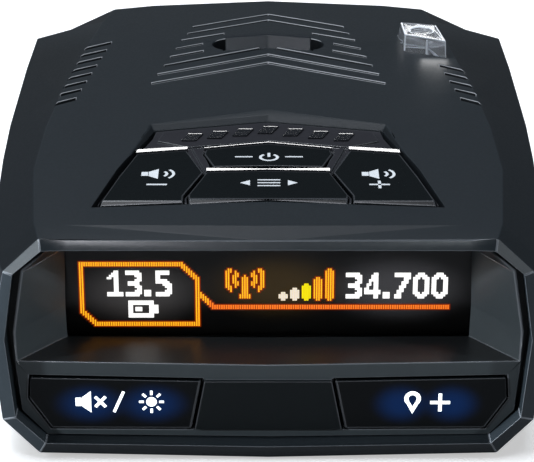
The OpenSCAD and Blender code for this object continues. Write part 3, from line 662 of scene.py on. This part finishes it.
def add_release_coils():
    """Coil springs under the release bar. They shorten as it goes down, which this fixed mesh does not
    follow.
    """
    foot, top, travel = 22.3, 29.55, 1.5      # ends of the springs and the bar's travel, mm
    y, spread = 71.4, 5.6                     # their place behind the bezel and to each side
    wire, coil, rounds = 0.22, 0.86, 6        # radius of the wire and of the coil, and turns
    flat_end = 0.8                            # how much of a turn lies flat at each end
    steps, sides = 20, 8                      # points round a turn and round the wire

    def build(mesh):
        for x in (-spread, spread):
            rings = []
            for k in range(rounds * steps + 1):
                angle = math.tau * k / steps
                climb = min(max((k / steps - flat_end) / (rounds - 2 * flat_end), 0), 1)
                middle = foot + wire + (top - foot - 2 * wire) * climb
                ring_points = []
                for reach, rise in around(coil, middle, wire, turns(sides)):
                    place = spot(x + reach * math.cos(angle), y + reach * math.sin(angle), rise)
                    ring_points.append(mesh.verts.new(place))
                rings.append(ring_points)
            for a, b in zip(rings, rings[1:]):
                for i in range(sides):
                    j = (i + 1) % sides
                    mesh.faces.new((a[i], a[j], b[j], b[i]))
            mesh.faces.new(rings[0][::-1])
            mesh.faces.new(rings[-1])
        bmesh.ops.recalc_face_normals(mesh, faces=mesh.faces)

    coils = add_piece("release_coils", build, "spring")
    for face in coils.data.polygons:
        face.use_smooth = True
    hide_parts("release_springs")
    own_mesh(coils)


# ---------------------------------------------------------------- display
DOT = 0.306             # pitch of the lit dots across, mm
DOT_ROW = 0.311         # and down
DISPLAY_LEFT = -24.95   # dots are counted from this corner, across and down
DISPLAY_TOP = 23.42
DISPLAY_Y = 11.72       # between the window and the panel
DOT_DEPTH = 0.015       # thickness of the plates that stand for lit dots
DIGIT_STEP = 8          # from one digit to the next, in dots

# Digits of a common dot-matrix face, seven dots wide, from the top row down
DIGITS = {
    "0": "..###.. .#####. ###.### ##...## ##...## ##...## "
         "##...## ##...## ##...## ###.### .#####. ..###..",
    "1": "...##.. ..###.. .####.. ##.##.. ...##.. ...##.. "
         "...##.. ...##.. ...##.. ...##.. ####### #######",
    "3": "######. ####### ....### .....## ....### .#####. "
         ".#####. ....### .....## ....### ####### ######.",
    "4": "....##. ...###. ...###. ..####. ..#.##. .##.##. "
         ".#..##. ##..##. ####### ####### ....##. ....##.",
    "5": "######. ######. ##..... ##..... #####.. ######. "
         "...#### ....### .....## ....### ####### ######.",
    "7": "####### ####### ....### ....##. ...###. ...##.. "
         "..###.. ..##... .###... .##.... ###.... ###....",
}


def glyph_dots(text, column, row, point_wide):
    """Dots of a number, one glyph after another; point_wide is the room for its point."""
    dots = set()
    for letter in text:
        if letter == ".":
            dots |= {(column + i, row + 9 + j) for i in range(3) for j in range(3)}
            column += point_wide
            continue
        for j, line in enumerate(DIGITS[letter].split()):
            dots |= {(column + i, row + j) for i, mark in enumerate(line) if mark == "#"}
        column += DIGIT_STEP
    return dots


def line_dots(c0, r0, c1, r1, thick=2):
    """Dots of a stroke, thick dots wide and high."""
    steps = max(abs(c1 - c0), abs(r1 - r0), 1)
    dots = set()
    for k in range(steps + 1):
        c = round(c0 + (c1 - c0) * k / steps)
        r = round(r0 + (r1 - r0) * k / steps)
        dots |= {(c + i, r + j) for i in range(thick) for j in range(thick)}
    return dots


def outline_dots(corners):
    """Dots of the strokes round a closed outline."""
    dots = set()
    for a, b in zip(corners, corners[1:] + corners[:1]):
        dots |= line_dots(*a, *b)
    return dots


def bar_dots(column, bottom, height):
    """One signal bar, four dots wide with its corners off."""
    return {(column + i, bottom - j) for i in range(4) for j in range(height)
            if not (i in (0, 3) and j in (0, height - 1))}


def wave_dots(column, row):
    """A mast with waves to both sides, the sign for a radio signal."""
    dots = set()
    for i in range(17):
        for j in range(14):
            aside, below = abs(i - 8), j - 4.5      # from the middle of the waves
            reach = math.hypot(aside * 0.95, below)
            wave = (3.2 < reach < 5.2 or 6.6 < reach < 8.6) and aside > abs(below) * 0.95
            mast = j > 5 and aside < 1.2 + (j - 5) * 0.12
            if wave or mast or reach < 1.7:
                dots.add((column + i, row + j))
    return dots


def battery_dots(column, row):
    """A battery with its cap and its charge."""
    right, bottom = column + 9, row + 6
    shell = outline_dots([(column, row), (right, row), (right, bottom), (column, bottom)])
    cap = {(right + 2 + i, row + 2 + j) for i in range(2) for j in range(4)}
    charge = {(column + 3 + i, row + 3 + j) for i in range(3) for j in range(2)}
    return shell | cap | charge


def dot_mesh(mesh, dots, wide, high, lift):
    """One small plate per dot, facing the driver; wide and high are shares of the pitch."""
    half_u, half_v = wide * DOT / 2, high * DOT_ROW / 2
    plate = [(-half_u, -half_v), (half_u, -half_v), (half_u, half_v), (-half_u, half_v)]
    for column, row in sorted(dots):
        middle = (DISPLAY_LEFT + (column + 0.5) * DOT, DISPLAY_TOP - (row + 0.5) * DOT_ROW)
        back = spot(0, DISPLAY_Y - lift + DOT_DEPTH, 0)
        prism(mesh, moved([plate], *middle)[0], back, *UPRIGHT, DOT_DEPTH)


def add_display():
    """The dots of the reading, each colour as one piece, with a dim halo behind them."""
    box = outline_dots([(0, 0), (43, 0), (50, 7), (50, 28), (6, 28), (0, 22)])
    rule = line_dots(51, 14, 57, 20) | line_dots(58, 20, 158, 20)
    red = {d for d in rule if d[0] > 55}
    amber = box | (rule - red) | bar_dots(101, 17, 11) | bar_dots(106, 17, 15) | wave_dots(63, 3)
    white = glyph_dots("13.5", 12, 4, 5) | glyph_dots("34.700", 115, 5, 5) | battery_dots(21, 18)
    cream = bar_dots(86, 17, 4) | bar_dots(91, 17, 6)
    lift = 0.02             # of the dots in front of their halo, mm
    groups = [              # dots, width and height as shares of the pitch, lift
        ("display_amber_dots", "amber_dot", amber, 0.66, 0.94, lift),
        ("display_red_dots", "red_dot", red, 0.66, 0.94, lift),
        ("display_white_dots", "white_dot", white, 1.0, 1.0, lift),
        ("display_cream_dots", "cream_dot", cream, 0.95, 1.0, lift),
        ("display_yellow_dots", "yellow_dot", bar_dots(96, 17, 8), 0.9, 1.0, lift),
        ("display_halo", "halo", amber | red, 1.9, 1.9, 0.0),
    ]
    for name, material, *dots in groups:
        add_piece(name, lambda mesh, d=dots: dot_mesh(mesh, *d), material)


# ---------------------------------------------------------------- stage
def add_floor():
    """Pale paper, even to the camera and dim where the case mirrors it."""
    bpy.ops.mesh.primitive_plane_add(size=12, location=(0, 1.2, -0.0003))
    floor = bpy.context.object
    floor.name = "floor"
    pale = Shader("floor_paper").rough(0.6, 0.7, 40)
    mix = pale.node("ShaderNodeMix", data_type="RGBA")
    mix.inputs["A"].default_value = (0.88, 0.88, 0.88, 1)
    mix.inputs["B"].default_value = (0.2, 0.2, 0.21, 1)
    path = pale.node("ShaderNodeLightPath")
    pale.link(path.outputs["Is Glossy Ray"], mix.inputs["Factor"])
    pale.link(path.outputs["Is Camera Ray"], pale.bsdf.inputs["Emission Strength"])
    pale.set(Emission_Color=(0.5, 0.5, 0.5, 1))
    pale.link(mix.outputs["Result"], pale.bsdf.inputs["Base Color"])
    floor.data.materials.append(pale.material)


def add_light(name, place, target, size, power, color=(1, 1, 1), receivers=None, mirrored=True):
    """A soft rectangular lamp; receivers names the only pieces that it lights."""
    data = bpy.data.lights.new(name, "AREA")
    data.shape = "RECTANGLE"
    data.size, data.size_y = size
    data.energy = power
    data.color = color
    light = bpy.data.objects.new(name, data)
    bpy.context.scene.collection.objects.link(light)
    light.location = place
    light.visible_glossy = mirrored
    light.rotation_euler = (Vector(target) - Vector(place)).to_track_quat("-Z", "Y").to_euler()
    if receivers:
        group = bpy.data.collections.new(name + "_receivers")
        for receiver in receivers:
            group.objects.link(bpy.data.objects[receiver])
        light.light_linking.receiver_collection = group


def add_lights():
    middle = (0, FRONT + 0.02, 0.02)
    rim = (0, FRONT, 0.031)
    keypad = (0, FRONT + 0.024, 0.033)
    behind = (0, 0.50, 0.095)
    cool = (0.88, 0.95, 1.0)
    lavender = (0.93, 0.93, 1.0)
    add_light("left_light", (-0.46, -0.26, 0.34), middle, (0.26, 0.26), 1.0, cool)
    add_light("right_light", (0.46, -0.26, 0.30), middle, (0.26, 0.26), 0.3, cool)
    add_light("left_rim_light", (-0.085, -0.26, 0.48), rim, (0.05, 0.05), 0.28, lavender)
    add_light("right_rim_light", (0.10, -0.26, 0.48), rim, (0.05, 0.05), 0.18, cool)
    add_light("back_light", (-0.12, 0.16, 0.55), middle, (0.16, 0.16), 0.3, cool)
    add_light("soft_light", (-0.3, 0.0, 1.5), (0, 0, 0), (1.2, 1.2), 17.0, cool, mirrored=False)
    add_light("sheen_light", (-0.22, 0.0, 1.4), (0, 0, 0), (0.7, 0.7), 3.6, lavender)
    for name, side, power in (("left_side_light", -1, 30.0), ("right_side_light", 1, 7.0)):
        place = (0.5 * side, -0.10, 0.06)
        add_light(name, place, middle, (0.1, 0.1), power, cool, ["front_bezel"], False)
    walls = ["top_cover", "bottom_cover"]
    for name, side in (("left_wall_light", -1), ("right_wall_light", 1)):
        add_light(name, (0.5 * side, 0.1, 0.0), middle, (0.2, 0.2), 3.5, cool, walls, False)
    beads = ["volume_down_bead", "volume_up_bead", "menu_bead", "power_bead", "badge_ribs"]
    for name, power, lit_pieces in (("bead_light", 0.35, beads + ["rear_laser_lens"]),
                                    ("vent_light", 0.03, ["top_cover"])):
        add_light(name, behind, keypad, (0.5, 0.03), power, receivers=lit_pieces)
    for name, side, power in (("left_recess_light", -1, 5.0), ("right_recess_light", 1, 2.9)):
        place = (0.40 * side, -0.25, 0.20)
        add_light(name, place, middle, (0.04, 0.04), power, cool, ["display_fascia"])
    lens = ["rear_laser_lens", "lens_rib"]
    add_light("lens_top_light", (0.035, 0.45, 0.275), spot(25, 72, 35), (0.3, 0.2), 0.7, receivers=lens)
    lens_front, deck = spot(25.4, 66.9, 33.7), spot(25.6, 58.5, 31.6)
    add_light("lens_light", lens_front, deck, (0.004, 0.001), 0.00007, receivers=["top_cover"])


def add_world():
    """Pale behind the stage, and dim where the case mirrors it."""
    world = bpy.data.worlds.new("studio")
    bpy.context.scene.world = world
    world.use_nodes = True
    tree = world.node_tree
    mix = tree.nodes.new("ShaderNodeMix")
    mix.data_type = "RGBA"
    mix.inputs["A"].default_value = (0.026, 0.03, 0.034, 1)
    mix.inputs["B"].default_value = (0.9, 0.9, 0.9, 1)
    path = tree.nodes.new("ShaderNodeLightPath")
    tree.links.new(path.outputs["Is Camera Ray"], mix.inputs["Factor"])
    tree.links.new(mix.outputs["Result"], tree.nodes["Background"].inputs["Color"])


def add_camera():
    """In front of the case and above it, looking down by tilt."""
    tilt = 23.5
    data = bpy.data.cameras.new("camera")
    data.sensor_width = 36
    data.lens = 148.3
    data.shift_x = -0.0022
    data.clip_start = 0.01
    camera = bpy.data.objects.new("camera", data)
    bpy.context.scene.collection.objects.link(camera)
    camera.location = (0, FRONT - 0.25183, 0.14237)
    camera.rotation_euler = (math.radians(90 - tilt), 0, 0)
    bpy.context.scene.camera = camera


MATERIALS = make_materials()
paint_nodes()
soften_nodes()
add_legends()
add_badge()
add_beads()
add_lens_rib()
add_release_coils()
add_socket_contacts()
add_underside()
add_display()
bpy.context.scene.view_settings.view_transform = "Standard"
add_floor()
add_lights()
add_world()
add_camera()
